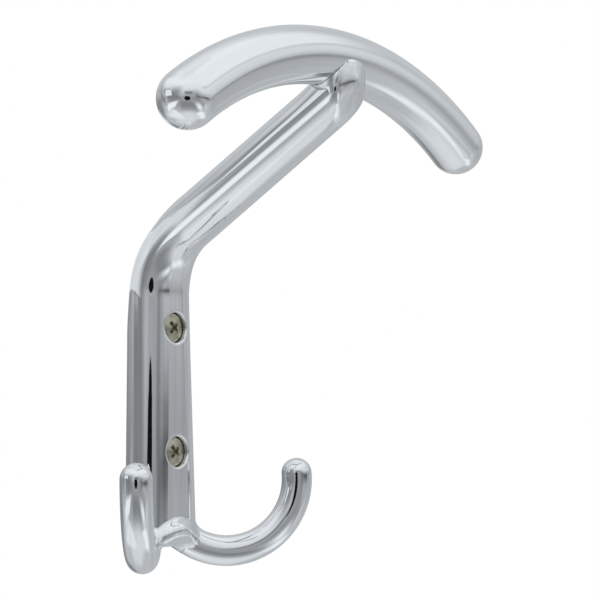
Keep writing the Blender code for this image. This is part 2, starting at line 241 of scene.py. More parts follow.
class BarSizes(bpy.types.PropertyGroup):
    """The bowed hanger bar across the arm's nose."""

    diameter: measure("Diameter", "Thickness of the bar", 0.0141)
    bow_radius: measure("Bow radius", "Radius of the bar's bow", 0.0895)
    span: measure("Span", "Distance between the centres of the domed ends", 0.1032)
    out: measure("Out", "From the wall to the bar's middle", 0.0621)
    saddle_depth: measure("Saddle depth", "How deep the bar lies in the arm", 0.0046)
    stud_hole: measure("Stud hole", "Diameter of the hidden stud's hole", 0.0056)
    stud_down: measure("Stud down", "Reach of the stud's hole below the bar's middle", 0.01285)


class HookSizes(bpy.types.PropertyGroup):
    """The two J-shaped hooks in the foot."""

    diameter: measure("Diameter", "Thickness of the rod", 0.0080)
    bend_radius: measure("Bend radius", "Radius of the J along its middle", 0.0186)
    splay: angle("Splay", "Turn of each hook away from straight ahead", 50.0)
    slope: angle("Slope", "Fall of the rod where it leaves the foot", 30.0)
    tip_turn: angle("Tip turn", "How far the tip leans back past upright", 4.0)
    dip: measure("Dip", "How far the rod's middle hangs below the foot", 0.0018)
    centre_out: measure("Centre out", "Distance of the J's centre along the splay", 0.0207)
    planes_meet: measure("Planes meet", "Where both hooks' planes cross, behind the wall face", 0.0015)
    let_in: measure("Let in", "Length of full rod inside the foot", 0.0016)
    tenon: measure("Tenon", "Diameter of the turned end in the foot", 0.0046)
    tenon_length: measure("Tenon length", "Length of the turned end", 0.0030)


class ScrewSizes(bpy.types.PropertyGroup):
    """The two wall screws."""

    spacing: measure("Spacing", "Distance between the screws", 0.0320)
    length: measure("Length", "From the head's rim to the point", 0.0160)
    diameter: measure("Diameter", "Outside of the thread", 0.0040)
    core: measure("Core", "Diameter under the thread", 0.0029)
    pitch: measure("Pitch", "Distance between turns of the thread", 0.0018)
    point: measure("Point", "Length of the tapered point", 0.0040)
    head: measure("Head", "Head diameter", 0.0076)
    rim: measure("Rim", "Height of the head's rim", 0.0003)
    crown: measure("Crown", "Height of the domed head", 0.0009)
    recess: measure("Recess", "Depth of the head's rim below the stem's front", 0.0014)
    cross_span: measure("Cross span", "Width over the cross recess", 0.0044)
    cross_slot: measure("Cross slot", "Width of one slot of the cross", 0.0010)
    cross_depth: measure("Cross depth", "Depth of the cross recess", 0.0020)


class Finishes(bpy.types.PropertyGroup):
    """Colours of the metals and the stage."""

    chrome: colour("Chrome", "Colour of the bright plating", (0.89, 0.90, 0.91))
    zinc: colour("Yellow zinc", "Colour of the screws", (0.46, 0.43, 0.33))
    zinc_pale: colour("Pale zinc", "Where the yellow thins out", (0.52, 0.50, 0.43))
    steel: colour("Steel", "Colour of the hidden stud", (0.50, 0.50, 0.51))
    floor: colour("Floor", "Colour of the floor", (0.86, 0.85, 0.85))
    studio: colour("Studio", "Cool white of the studio's walls and cards", (0.925, 0.965, 1.0))


class StageSettings(bpy.types.PropertyGroup):
    """Camera and light."""

    turn: angle("Turn", "Camera's turn round the hook from straight ahead", -50.344)
    rise: angle("Rise", "Camera's height angle", -4.006)
    roll: angle("Roll", "Tilt of the picture", -0.886)
    distance: measure("Distance", "From the camera to the hook's middle", 0.477867)
    lens: amount("Lens", "Focal length on a 36 mm sensor", 113.783)
    shift_right: measure("Shift right", "Sideways move of the camera", 0.016369)
    shift_up: measure("Shift up", "Upward move of the camera", -0.002457, least=-1.0)
    light: amount("Light", "Strength of the white light all round", 1.0)
    tent_radius: measure("Tent radius", "Reach of the studio round the hook", 1.5)
    card_radius: measure("Card radius", "From the stem's middle to the pale card behind it", 0.035)
    card_low: measure("Card low", "Height of the pale card's lower edge beside the stem", 0.0255)
    card_low_behind: measure("Card low behind", "Height of that edge behind the stem", 0.0294)
    card_high: measure("Card high", "Height of the pale card's upper edge", 0.060)
    floor_drop: measure("Floor drop", "From the middle of the screws down to the floor", 0.30)


def places(scene):
    """Points and angles that several pieces share."""
    stem, bar, hook = scene.hook_stem, scene.hook_bar, scene.hook_rods
    turn = math.radians(90.0) - stem.arm_slope
    along = Vector((0.0, -math.cos(stem.arm_slope), math.sin(stem.arm_slope)))
    bend_centre = Vector((0.0, -stem.depth / 2 - stem.bend_radius, stem.bend_rise))
    arm_start = bend_centre + stem.bend_radius * Vector((0.0, math.cos(turn), math.sin(turn)))
    under_bar = (bar.out + arm_start.y) / math.cos(stem.arm_slope)
    rise = (stem.arm_at_nose / 2 + bar.diameter / 2 - bar.saddle_depth) / math.cos(stem.arm_slope)
    return {
        "foot": -stem.foot_drop,
        "turn": turn,
        "along": along,
        "bend_centre": bend_centre,
        "arm_start": arm_start,
        "bar_middle": arm_start + along * under_bar + Vector((0.0, 0.0, rise)),
        "nose_middle": bar.out + bar.diameter / 2 + stem.nose_lead - stem.arm_at_nose / 2,
        "hook_centre": -stem.foot_drop - hook.dip + hook.bend_radius,
        "hook_start": -math.radians(90.0) - hook.slope,
    }


def mix(a, b, share):
    """What lies this share of the way from one to the other."""
    return a + (b - a) * share


def clipped(share):
    """A share kept between nothing and all."""
    return np.clip(share, 0.0, 1.0)


def ease(share):
    """A share kept between nothing and all, which starts and ends gently."""
    share = clipped(share)
    return share * share * (3.0 - 2.0 * share)


def joined(a, b, reach):
    """Two solids run together, with a fillet of about this reach."""
    share = clipped(0.5 + 0.5 * (b - a) / reach)
    return mix(b, a, share) - reach * share * (1.0 - share)


def common(a, b, reach):
    """What two solids share, with its edge rounded."""
    return -joined(-a, -b, reach)


def corner_distance(across, deep, radius):
    """Distance from a corner of two faces that is rounded to this radius."""
    across = across + radius
    deep = deep + radius
    outside = np.hypot(np.maximum(across, 0.0), np.maximum(deep, 0.0))
    return outside + np.minimum(np.maximum(across, deep), 0.0) - radius


def bend_line(scene):
    """Run, y, z and lean along the middle of the bend, which curves in and out gently."""
    stem = scene.hook_stem
    turn = places(scene)["turn"]
    share = np.linspace(0.0, 1.0, BEND_STEPS + 1)
    tight = ease(share / BEND_EASE) * ease((1.0 - share) / BEND_EASE)
    lean = np.concatenate(([0.0], np.cumsum((tight[1:] + tight[:-1]) / 2)))
    lean *= turn / lean[-1]
    halfway = (lean[1:] + lean[:-1]) / 2
    y = np.concatenate(([0.0], np.cumsum(-np.sin(halfway) * share[1])))
    z = np.concatenate(([0.0], np.cumsum(np.cos(halfway) * share[1])))
    corner = z[-1] / (1.0 + math.cos(turn))
    middle = BEND_STEPS // 2
    size = stem.bend_radius * (1.0 / math.cos(turn / 2) - 1.0) / math.hypot(y[middle], z[middle] - corner)
    base = stem.bend_rise + stem.bend_radius * math.tan(turn / 2) - size * corner
    return size * share, size * y - stem.depth / 2, size * z + base, lean


def along_bend(scene, y, z):
    """How far along the bend each point lies, as a share, and how far in front of its middle line."""
    runs, ys, zs, leans = bend_line(scene)
    where = places(scene)
    centre = where["bend_centre"]
    turned = np.arctan2(z - centre.z, y - centre.y) / where["turn"]
    in_arm = (y - ys[-1]) * where["along"].y + (z - zs[-1]) * where["along"].z
    run = np.where(turned < 1.0, clipped(turned) * runs[-1], runs[-1] + in_arm)
    run = np.where(z < zs[0], z - zs[0], run)
    for _ in range(BEND_ROUNDS):
        inside = np.clip(run, 0.0, runs[-1])
        lean = np.interp(inside, runs, leans)
        off_y = y - np.interp(inside, runs, ys)
        off_z = z - np.interp(inside, runs, zs)
        run = inside - off_y * np.sin(lean) + off_z * np.cos(lean)
    front = -off_y * np.cos(lean) - off_z * np.sin(lean)
    return run / runs[-1], front


def stem_half_width(scene, z):
    """Half the stem's width at a height: it narrows upwards and stays even from the bend on."""
    stem = scene.hook_stem
    up = np.maximum((z + stem.foot_drop) / (stem.bend_rise + stem.foot_drop), TAPER_LOW)
    return mix(stem.width_foot, stem.width_bend, joined(up, 1.0, TAPER_EASE)) / 2


def stem_body(scene, at):
    """Distance from the plain stem, bend and arm, without holes or saddle."""
    stem = scene.hook_stem
    where = places(scene)
    x, y, z = at.T
    start, along = where["arm_start"], where["along"]
    run = (y - start.y) * along.y + (z - start.z) * along.z
    bent, front = along_bend(scene, y, z)

    half = stem_half_width(scene, z)
    deep = front + stem.depth / 2
    back_edge = mix(stem.back_edge, stem.bend_back_edge, ease((bent - SOFT_FROM) / SOFT_OVER))
    flat = np.maximum(
        corner_distance(np.abs(x) - half, deep - stem.depth, stem.shoulder),
        corner_distance(np.abs(x) - half, -deep, back_edge),
    )

    nose_run = (where["nose_middle"] + start.y) / math.cos(stem.arm_slope)
    radius = mix(stem.arm_at_bend, stem.arm_at_nose, clipped(run / nose_run)) / 2
    ahead = -y - where["nose_middle"]
    nose_radius = stem.arm_at_nose / 2
    square = ease(1.0 + ahead / stem.nose_blend)
    square = square * ease(NOSE_SQUARE_BELOW - front / nose_radius)
    power = mix(2.0, stem.nose_square, square)
    section = (np.abs(x) ** power + np.abs(front) ** power) ** (1.0 / power)

    share = ease((bent - ROUND_FROM) / ROUND_OVER)
    fullness = stem.bend_fullness * np.exp(-(((bent - FULLEST) / FULL_REACH) ** 2))
    body = mix(flat, section - radius, share) - fullness * ease(-front / radius)

    face = ahead - nose_radius + stem.nose_round
    plan = np.hypot(x, np.maximum(face, 0.0)) - stem.nose_round - np.maximum(-face, 0.0)
    edge = mix(stem.nose_top_edge, stem.nose_low_edge, clipped(0.5 + front / nose_radius))
    edge = edge * clipped(1.0 - (x / nose_radius) ** 2) ** 2 + stem.nose_side_edge
    body = common(body, plan, edge)
    return common(body, where["foot"] - z, stem.foot_edge)


def rod_distance(scene, at, side, turn_from, turn_to, radius):
    """Distance from a stretch of one hook's J, with the straight root before it."""
    hook = scene.hook_rods
    where = places(scene)
    ahead = np.array((side * math.sin(hook.splay), -math.cos(hook.splay)))
    flat = at[:, :2] - np.array((0.0, hook.planes_meet))
    out = flat @ ahead - hook.centre_out
    off = flat @ np.array((ahead[1], -ahead[0]))
    up = at[:, 2] - where["hook_centre"]
    turn = np.arctan2(up, out)
    turn = np.where(turn > math.radians(90.0), turn - 2 * math.pi, turn)
    turn = np.clip(turn, turn_from, turn_to)
    bent = np.hypot(out - hook.bend_radius * np.cos(turn), up - hook.bend_radius * np.sin(turn))
    root_out = hook.bend_radius * math.cos(turn_from)
    root_up = hook.bend_radius * math.sin(turn_from)
    inward = (-math.cos(hook.slope), math.sin(hook.slope))
    run = (out - root_out) * inward[0] + (up - root_up) * inward[1]
    run = np.clip(run, 0.0, hook.let_in)
    straight = np.hypot(out - root_out - run * inward[0], up - root_up - run * inward[1])
    return np.hypot(np.minimum(bent, straight), off) - radius


def bar_distance(scene, at, radius):
    """Distance from the bar's bow, taken to this radius."""
    bar = scene.hook_bar
    middle = places(scene)["bar_middle"]
    x, y, z = at.T
    bow = np.hypot(x, z - middle.z + bar.bow_radius) - bar.bow_radius
    return np.hypot(bow, y - middle.y) - radius


def ridge_distance(scene, at):
    """Distance from the arched ridge between the roots of the hooks."""
    stem, hook = scene.hook_stem, scene.hook_rods
    where = places(scene)
    x, y, z = at.T
    root_out = hook.centre_out + hook.bend_radius * math.cos(where["hook_start"])
    end_x = root_out * math.sin(hook.splay)
    end_y = hook.planes_meet - root_out * math.cos(hook.splay)
    end_z = where["hook_centre"] + hook.bend_radius * math.sin(where["hook_start"])
    share = np.clip(x / end_x, -1.0, 1.0)
    ridge_y = mix(-stem.web_out, end_y, share**2)
    ridge_z = end_z + stem.web_rise * (1.0 - share**2)
    return np.hypot(np.hypot(y - ridge_y, z - ridge_z), x - end_x * share) - stem.web_diameter / 2


def screw_hole(scene, at, height):
    """Distance from the inside of a countersunk hole."""
    stem, screw = scene.hook_stem, scene.hook_screws
    x, y, z = at.T
    out = -y - (stem.depth - screw.recess)
    wide = screw.head / 2 + HEAD_ROOM
    narrow = screw.diameter / 2 + SHANK_ROOM
    radius = np.clip(wide + out + screw.rim + HEAD_ROOM, narrow, wide)
    return (np.hypot(x, z - height) - radius) * HOLE_SCALE


def stem_distance(scene, at):
    """Distance from the finished stem: fillets at the hooks and ridge, holes, saddle."""
    stem, bar, hook, screw = scene.hook_stem, scene.hook_bar, scene.hook_rods, scene.hook_screws
    where = places(scene)
    x, y, z = at.T
    body = joined(stem_body(scene, at), ridge_distance(scene, at), stem.web_fillet)

    first = where["hook_start"]
    for side in (-1.0, 1.0):
        stub = rod_distance(scene, at, side, first, first + STUB_TURN, hook.diameter / 2 - STUB_INSET)
        outer = x * side * math.cos(hook.splay) + (y - hook.planes_meet) * math.sin(hook.splay)
        outer = ease(0.5 + outer / hook.diameter)
        body = joined(body, stub, mix(stem.crotch_fillet, stem.root_fillet, outer))

    for height in (screw.spacing / 2, -screw.spacing / 2):
        body = common(body, -screw_hole(scene, at, height), stem.hole_edge)
    body = common(body, -bar_distance(scene, at, bar.diameter / 2 + SADDLE_ROOM), SADDLE_EDGE)
    middle = where["bar_middle"]
    stud = np.hypot(x, y - middle.y) - bar.stud_hole / 2
    stud = np.maximum(stud, middle.z - bar.stud_down - z)
    return np.maximum(body, -stud)


def screw_distance(scene, at):
    """Distance from a wood screw in its own frame: Z out of the wall, the head's rim at zero."""
    screw = scene.hook_screws
    x, y, z = at.T
    reach = np.hypot(x, y)
    head = screw.head / 2
    ball = (head**2 + screw.crown**2) / (2 * screw.crown)
    crown = np.hypot(reach, z - screw.crown + ball) - ball
    cone = (reach - head - np.minimum(z + screw.rim, 0.0)) * CONE_SCALE
    top = common(np.maximum(crown, reach - head), cone, HEAD_EDGE)

    turns = np.arctan2(y, x) / (2 * math.pi) - z / screw.pitch
    ridge = 1.0 - np.abs(2.0 * (turns - np.floor(turns)) - 1.0)
    ridge = clipped(ridge * THREAD_STEEP - THREAD_SINK)
    sharp = clipped((z + screw.length) / screw.point)
    plain = clipped((z + screw.length * PLAIN_LENGTH) / THREAD_START)
    full = mix(mix(screw.core, screw.diameter, ridge), screw.diameter * PLAIN_DIAMETER, plain) / 2
    shank = np.maximum((reach - full * sharp**POINT_POWER) * SHANK_SCALE, z + screw.rim)
    body = np.minimum(top, shank)

    below = clipped((screw.crown - z) / screw.cross_depth)
    for across, deep in ((x + y, x - y), (x - y, x + y)):
        across = np.abs(across) * math.sqrt(0.5)
        deep = np.abs(deep) * math.sqrt(0.5)
        slot = common(
            across - screw.cross_slot / 2 * mix(1.0, SLOT_TAPER, below),
            deep - screw.cross_span / 2 * mix(1.0, SPAN_TAPER, below),
            SLOT_EDGE,
        )
        slot = np.maximum(slot, screw.crown - screw.cross_depth - z)
        body = common(body, -slot, CROSS_EDGE)
    return body


def sampled(distance, low, counts, cell):
    """Distances on a grid. Blocks of it that lie well off the surface only say on which side they are."""
    values = np.ones(counts)
    starts = np.array(list(product(*(range(0, n - 1, SKIN_BLOCK) for n in counts))))
    middles = distance(low + cell * (starts + SKIN_BLOCK / 2))
    far = SKIN_DOUBT * cell * SKIN_BLOCK * math.sqrt(3.0) / 2
    for start, middle in zip(starts, middles):
        stop = np.minimum(start + SKIN_BLOCK + 1, counts)
        room = tuple(slice(a, b) for a, b in zip(start, stop))
        if abs(middle) > far:
            values[room] = math.copysign(1.0, middle)
            continue
        spans = (np.arange(a, b) for a, b in zip(start, stop))
        grid = np.stack(np.meshgrid(*spans, indexing="ij"), -1)
        values[room] = distance(low + cell * grid.reshape(-1, 3)).reshape(grid.shape[:3])
    return values


def netted(values, low, cell):
    """One point in each grid cell that the surface crosses, and one quad across each edge that it cuts."""
    counts = values.shape
    solid = values < 0.0
    steps = product((0, 1), repeat=3)
    corners = [solid[tuple(slice(d, n - 1 + d) for d, n in zip(step, counts))] for step in steps]
    crossed = np.any(corners, axis=0) & ~np.all(corners, axis=0)
    number = np.full(crossed.shape, -1)
    number[crossed] = np.arange(crossed.sum())
    total = np.zeros((crossed.sum(), 3))
    times = np.zeros(crossed.sum())
    quads = []
    for axis in range(3):
        lower = tuple(slice(0, n - 1) if k == axis else slice(0, n) for k, n in enumerate(counts))
        upper = tuple(slice(1, n) if k == axis else slice(0, n) for k, n in enumerate(counts))
        a, b = values[lower], values[upper]
        cut = solid[lower] != solid[upper]
        index = np.argwhere(cut)
        spot = index.astype(float)
        spot[:, axis] += a[cut] / (a[cut] - b[cut])
        ring = []
        first, second = (k for k in range(3) if k != axis)
        for left, down in ((0, 0), (1, 0), (1, 1), (0, 1)):
            beside = index.copy()
            beside[:, first] -= left
            beside[:, second] -= down
            ring.append(number[tuple(beside.T)])
        ring = np.stack(ring, 1)
        for column in ring.T:
            np.add.at(total, column, spot)
            np.add.at(times, column, 1.0)
        turned = solid[lower][cut] == (axis == 1)
        ring[turned] = ring[turned][:, ::-1]
        quads.append(ring)
    return low + cell * total / times[:, None], np.concatenate(quads)


def skin(distance, low, high, cell):
    """Points, quads and normals of the surface where a distance is zero, with the points drawn onto it."""
    low = np.array(low, float) - SKIN_ROOM * cell
    high = np.array(high, float) + SKIN_ROOM * cell
    counts = np.ceil((high - low) / cell).astype(int) + 1
    points, quads = netted(sampled(distance, low, counts, cell), low, cell)
    feel = SKIN_FEEL * cell

    def slope(at):
        rises = [(distance(at + feel * d) - distance(at - feel * d)) / (2 * feel) for d in np.eye(3)]
        return np.stack(rises, 1)

    for _ in range(SKIN_ROUNDS):
        steep = slope(points)
        move = distance(points) / np.maximum((steep**2).sum(1), SKIN_SLOPE)
        points -= np.clip(move, -SKIN_MOVE * cell, SKIN_MOVE * cell)[:, None] * steep
    normals = slope(points)
    normals /= np.maximum(np.linalg.norm(normals, axis=1), 1e-9)[:, None]
    return points, quads, normals


def crisp_front(scene, points, normals, cell):
    """Slides the points next to the edges of the stem's flat front onto them, so that they mirror cleanly."""
    stem = scene.hook_stem
    edge = stem_half_width(scene, points[:, 2]) - stem.shoulder
    flat = (normals[:, 1] < FLAT_FACING) & (np.abs(points[:, 1] + stem.depth) < FLAT_WITHIN)
    near = flat & (np.abs(np.abs(points[:, 0]) - edge) < cell / 2)
    points[near, 0] = np.copysign(edge, points[:, 0])[near]
    points[near, 1] = -stem.depth
    normals[near] = (0.0, -1.0, 0.0)


def place(name, points, faces, finish, normals=None, grain=None):
    """A named piece that rides on the coat hook, shaded smooth, with the run of its drawn lines."""
    mesh = bpy.data.meshes.new(name)
    mesh.from_pydata([tuple(p) for p in points], [], [tuple(f) for f in faces])
    if mesh.validate():
        raise RuntimeError(name + " has faulty faces")
    mesh.shade_smooth()
    if normals is not None:
        mesh.normals_split_custom_set_from_vertices([tuple(n) for n in normals])
    if grain is not None:
        mesh.attributes.new("grain", "FLOAT_VECTOR", "POINT").data.foreach_set("vector", np.ravel(grain))
    mesh.materials.append(finish)
    thing = bpy.data.objects.new(name, mesh)
    bpy.context.scene.collection.objects.link(thing)
    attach(thing, "root")
    return thing


def arc(centre, bend_radius, out, up, turn_from, turn_to, radius, steps):
    """Stations (point, ahead, aside, radius) of a rod that is bent from out to up round a centre."""
    path = []
    for k in range(steps + 1):
        turn = mix(turn_from, turn_to, k / steps)
        ahead = up * math.cos(turn) - out * math.sin(turn)
        point = centre + bend_radius * (out * math.cos(turn) + up * math.sin(turn))
        path.append((point, ahead, out.cross(up), radius))
    return path


def tube(path, sides):
    """Points, faces and grain of a round rod along its stations, closed at both ends."""
    points, faces, grain = [], [], []
    run = 0.0
    last = path[0][0]
    for point, ahead, aside, radius in path:
        lift = aside.cross(ahead)
        run += (point - last).length
        last = point
        for k in range(sides):
            turn = 2 * math.pi * k / sides
            points.append(point + radius * (math.cos(turn) * lift + math.sin(turn) * aside))
            grain.append((radius * math.cos(turn), radius * math.sin(turn), GRAIN_STRETCH * run))
    for ring in range(len(path) - 1):
        for k in range(sides):
            after = (k + 1) % sides
            base, above = ring * sides, (ring + 1) * sides
            faces.append((base + k, base + after, above + after, above + k))
    for ring, step in ((0, -1.0), (len(path) - 1, 1.0)):
        point, ahead, _, radius = path[ring]
        points.append(point + ahead * (step * radius * CAP_RISE))
        grain.append((0.0, 0.0, GRAIN_STRETCH * run * (step > 0)))
        for k in range(sides):
            after = (k + 1) % sides
            edge = (ring * sides + k, ring * sides + after)
            faces.append((*(edge[::-1] if step < 0 else edge), len(points) - 1))
    return points, faces, grain


def dome(point, ahead, aside, radius, steps):
    """Stations that round off a rod's end with a half ball."""
    turns = [math.radians(90.0) * k / steps for k in range(1, steps)] + [DOME_END]
    return [(point + ahead * radius * math.sin(t), ahead, aside, radius * math.cos(t)) for t in turns]


def feed(tree, socket, value):
    """Links an input to the socket that is given, or sets it to a plain value."""
    if isinstance(value, bpy.types.NodeSocket):
        tree.links.new(value, socket)
    else:
        socket.default_value = value


def linked(tree, kind, **values):
    """A shader node with its settings and inputs filled in."""
    node = tree.nodes.new(kind)
    for name, value in values.items():
        if hasattr(node, name):
            setattr(node, name, value)
        else:
            feed(tree, node.inputs[name.replace("_", " ").title()], value)
    return node


def grouped(tree, group, **values):
    """A shader node group placed in a material, with its inputs filled in."""
    node = linked(tree, "ShaderNodeGroup", node_tree=group)
    for label, value in values.items():
        feed(tree, node.inputs[label], value)
    return node


def math_node(tree, operation, *values):
    """The result of one sum on numbers and sockets."""
    node = linked(tree, "ShaderNodeMath", operation=operation)
    for socket, value in zip(node.inputs, values):
        feed(tree, socket, value)
    return node.outputs[0]


def spot_on(tree):
    """Where a point lies on its object."""
    return tree.nodes.new("ShaderNodeTexCoord").outputs["Object"]


def cloud(tree, spot, size, detail):
    """A soft, uneven value over the surface."""
    return linked(tree, "ShaderNodeTexNoise", vector=spot, scale=size, detail=detail).outputs["Fac"]


def fade(tree, value, start, full):
    """A mask that goes gently from nothing at one value to all at the other."""
    node = linked(tree, "ShaderNodeMapRange", interpolation_type="SMOOTHSTEP", value=value)
    feed(tree, node.inputs["From Min"], start)
    feed(tree, node.inputs["From Max"], full)
    return node.outputs["Result"]


def blended(tree, mask, one, other):
    """A colour that goes from one to the other by a mask."""
    node = linked(tree, "ShaderNodeMix", data_type="RGBA")
    for label, value in (("Factor", mask), ("A", one), ("B", other)):
        feed(tree, node.inputs[label], value)
    return node.outputs["Result"]


def opaque(tint, shade=1.0):
    """A colour of this shade for a socket that also wants how solid it is."""
    return (*(shade * c for c in tint), 1.0)


def shader_group(name, inputs, outputs):
    """Marks a function that fills a shader node group, so that calling it gives the group, built only once.

    The function gets the group's node tree and its inputs, and gives back what goes to the outputs.
    """

    def marked(fill):
        @wraps(fill)
        def group():
            if name in bpy.data.node_groups:
                return bpy.data.node_groups[name]
            tree = bpy.data.node_groups.new(name, "ShaderNodeTree")
            for label, default in inputs.items():
                socket = tree.interface.new_socket(label, in_out="INPUT", socket_type="NodeSocketFloat")
                socket.default_value = default
            for label in outputs:
                tree.interface.new_socket(label, in_out="OUTPUT", socket_type="NodeSocketFloat")
            start = tree.nodes.new("NodeGroupInput")
            end = tree.nodes.new("NodeGroupOutput")
            for label, result in zip(outputs, fill(tree, *start.outputs[: len(inputs)])):
                tree.links.new(result, end.inputs[label])
            return tree

        return group

    return marked


@shader_group("Handling marks", {"Size": 60.0, "Clean": 0.03, "Smeared": 0.07}, ("Mask", "Roughness"))
def handling_marks(tree, size, clean, smeared):
    """Faint smears from hands: a mask that goes from clean to smeared, and a roughness."""
    mask = fade(tree, cloud(tree, spot_on(tree), size, detail=4.0), start=0.45, full=0.75)
    spread = linked(tree, "ShaderNodeMapRange", value=mask, to_min=clean, to_max=smeared)
    return mask, spread.outputs["Result"]


@shader_group("Polish waves", {"Size": 120.0}, ("Height",))
def polish_waves(tree, size):
    """The slight unevenness that hand polishing leaves under plating, as a height."""
    return (cloud(tree, spot_on(tree), size, detail=1.0),)


@shader_group("Drawn lines", {"Size": 900.0}, ("Height", "Mask"))
def drawn_lines(tree, size):
    """Fine lines along a piece that drawing and polishing leave, as a height and as a mask."""
    grain = linked(tree, "ShaderNodeAttribute", attribute_name="grain")
    height = cloud(tree, grain.outputs["Vector"], size, detail=2.0)
    return height, fade(tree, height, start=0.40, full=0.65)


@shader_group("Studio angles", {}, ("Turn", "Rise", "Share"))
def studio_angles(tree):
    """Turn and rise of each point in degrees, seen from the middle of the studio, and its rise as a share."""
    unit = linked(tree, "ShaderNodeVectorMath", operation="NORMALIZE", vector=spot_on(tree))
    x, y, z = linked(tree, "ShaderNodeSeparateXYZ", vector=unit.outputs["Vector"]).outputs
    turn = math_node(tree, "ARCTAN2", x, math_node(tree, "MULTIPLY", y, -1.0))
    rise = math_node(tree, "DEGREES", math_node(tree, "ARCSINE", z))
    share = math_node(tree, "DIVIDE", math_node(tree, "ADD", rise, 90.0), 180.0)
    return math_node(tree, "DEGREES", turn), rise, share


@shader_group("Soft card", dict.fromkeys(("Turn", "Rise", *CARD_LABELS), 0.0), ("Mask",))
def soft_card(tree, turn, rise, card_turn, card_rise, half_width, half_height, softness, lean):
    """A mask for one card of the studio, soft at its edges and leaning if wanted."""
    up = math_node(tree, "SUBTRACT", rise, card_rise)
    aside = math_node(tree, "SUBTRACT", turn, card_turn)
    aside = math_node(tree, "SUBTRACT", aside, math_node(tree, "MULTIPLY", up, lean))
    aside = math_node(tree, "WRAP", aside, 180.0, -180.0)
    masks = []
    for away, half in ((aside, half_width), (up, half_height)):
        outside = math_node(tree, "ADD", half, softness)
        inside = math_node(tree, "SUBTRACT", half, softness)
        masks.append(fade(tree, math_node(tree, "ABSOLUTE", away), outside, inside))
    return (math_node(tree, "MULTIPLY", *masks),)


@shader_group("Soft rim", {"Full": 0.6, "Gone": 2.2}, ("Mask",))
def soft_rim(tree, full, gone):
    """A mask that fades from the middle of the floor to its rim."""
    reach = linked(tree, "ShaderNodeVectorMath", operation="LENGTH", vector=spot_on(tree))
    return (fade(tree, reach.outputs["Value"], gone, full),)


def new_finish(name, metallic):
    """A material, its node tree and its shader."""
    finish = bpy.data.materials.new(name)
    finish.use_nodes = True
    shader = finish.node_tree.nodes["Principled BSDF"]
    shader.inputs["Metallic"].default_value = metallic
    return finish, finish.node_tree, shader


def glow(name):
    """A material that only shines, for what stands round the hook to be mirrored."""
    finish, tree, shader = new_finish(name, metallic=0.0)
    finish.cycles.emission_sampling = "NONE"
    shader.inputs["Base Color"].default_value = (0.0, 0.0, 0.0, 1.0)
    shader.inputs["Specular IOR Level"].default_value = 0.0
    shader.inputs["Emission Strength"].default_value = 1.0
    return finish, tree, shader


def tone(tree, shader, mask, one, other):
    """Base colour that goes from one colour to another by a mask."""
    tree.links.new(blended(tree, mask, opaque(one), opaque(other)), shader.inputs["Base Color"])


def handled(tree, shader, size, clean, smeared):
    """Roughness with handling marks, and the mask of the marks."""
    marks = grouped(tree, handling_marks(), Size=size, Clean=clean, Smeared=smeared)
    tree.links.new(marks.outputs["Roughness"], shader.inputs["Roughness"])
    return marks.outputs["Mask"]


def bump(tree, shader, height, distance):
    """Unevenness of the surface, this deep."""
    node = linked(tree, "ShaderNodeBump", distance=distance, strength=1.0)
    tree.links.new(height, node.inputs["Height"])
    tree.links.new(node.outputs["Normal"], shader.inputs["Normal"])


def chrome(name, colours, smear_size, line_tone):
    """Bright plating over polished metal, with its lines toned down this far."""
    finish, tree, shader = new_finish(name, metallic=1.0)
    handled(tree, shader, smear_size, clean=0.035, smeared=0.07)
    waves = grouped(tree, polish_waves(), Size=90.0)
    lines = grouped(tree, drawn_lines(), Size=900.0)
    tone(tree, shader, lines.outputs["Mask"], colours.chrome, [line_tone * c for c in colours.chrome])
    height = math_node(tree, "MULTIPLY_ADD", lines.outputs["Height"], LINE_HEIGHT, waves.outputs["Height"])
    bump(tree, shader, height, POLISH_DEPTH)
    return finish


def ball(name, rings, half_sizes):
    """The mesh of a ball, stretched to its half sizes."""
    shape = bmesh.new()
    stretch = Matrix.Diagonal((*half_sizes, 1.0))
    bmesh.ops.create_uvsphere(shape, u_segments=2 * rings, v_segments=rings, radius=1.0, matrix=stretch)
    mesh = bpy.data.meshes.new(name)
    shape.to_mesh(mesh)
    shape.free()
    return mesh


def only_mirrored(scene, mesh, finish):
    """A thing in the room that only the plating sees."""
    mesh.materials.append(finish)
    thing = bpy.data.objects.new(mesh.name, mesh)
    thing.visible_camera = False
    thing.visible_diffuse = False
    thing.visible_shadow = False
    scene.collection.objects.link(thing)
    return thing


class COATHOOK_OT_stem(bpy.types.Operator):
    """Makes the stem that bends into the arm, with its saddle, screw holes and ridge"""

    bl_idname = "coat_hook.stem"
    bl_label = "Stem and arm"

    def execute(self, context):
        scene = context.scene
        low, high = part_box("stem_arm")
        low, high = low - STEM_ROOM, high + STEM_ROOM
        points, quads, normals = skin(lambda at: stem_distance(scene, at), low, high, STEM_CELL)
        crisp_front(scene, points, normals, STEM_CELL)
        bent, front = along_bend(scene, points[:, 1], points[:, 2])
        grain = np.stack((points[:, 0], front, GRAIN_STRETCH * bent * bend_line(scene)[0][-1]), 1)
        plating = chrome("stem_plating", scene.hook_finishes, smear_size=55.0, line_tone=0.90)
        stem = place("stem_and_arm", points, quads, plating, normals, grain)
        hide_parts("stem_arm")
        return {"FINISHED"}


